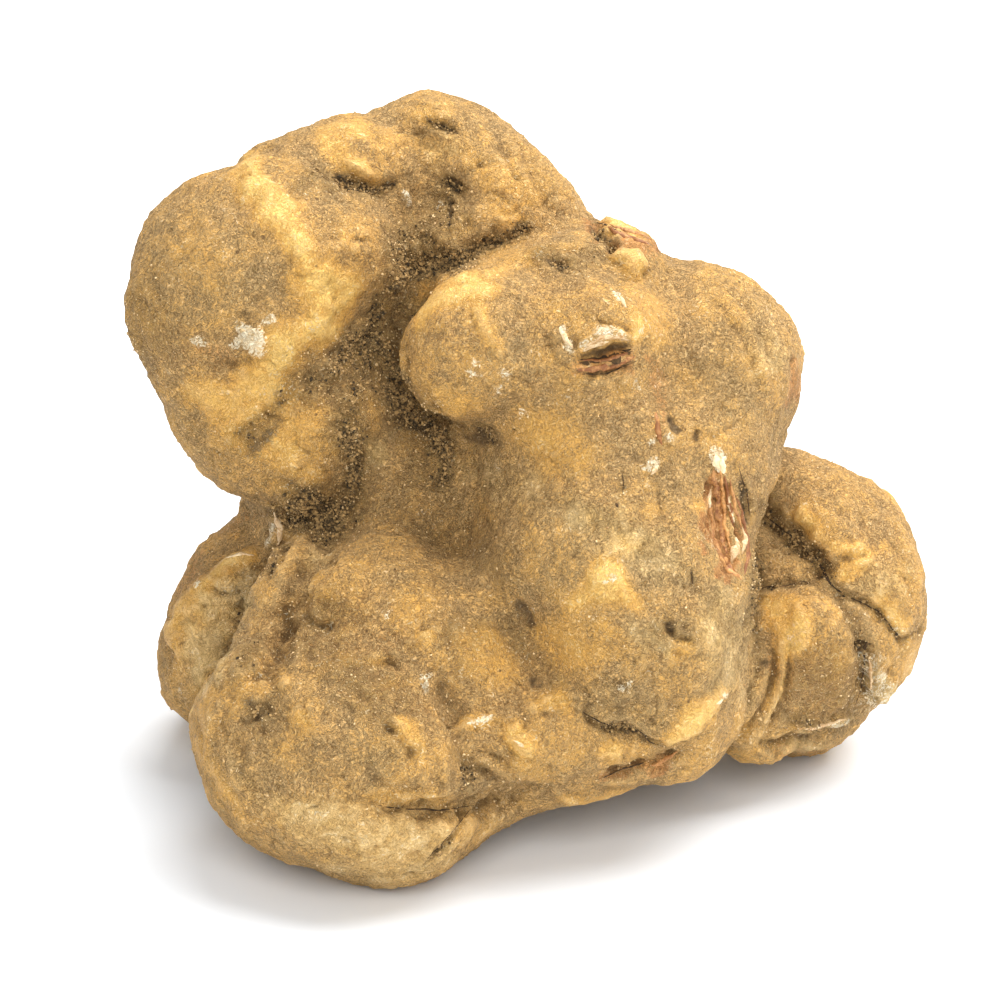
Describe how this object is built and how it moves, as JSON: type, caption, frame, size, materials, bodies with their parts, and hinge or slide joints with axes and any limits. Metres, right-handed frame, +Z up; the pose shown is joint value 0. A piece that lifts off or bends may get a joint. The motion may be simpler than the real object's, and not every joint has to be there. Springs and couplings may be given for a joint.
{
  "type": "white truffle",
  "caption": "Fresh white truffle, one knobbly lump of merged lobes with deep creases between them, standing on small flat spots under its lowest lobes.",
  "frame": {"origin": "centre of the footprint's box, on the surface that the truffle rests on", "axes": "+X along the longest extent, towards the lobe that stands out on the lower right; -Y towards the side with the deep forked crease and the torn slot; +Z up as it rests"},
  "size_m": [0.0808, 0.067, 0.065],
  "materials": {
    "truffle_skin": "matt, finely grained ochre skin with dry soil in the creases"
  },
  "bodies": {
    "root": {"truffle": "truffle_skin"}
  },
  "joints": []
}
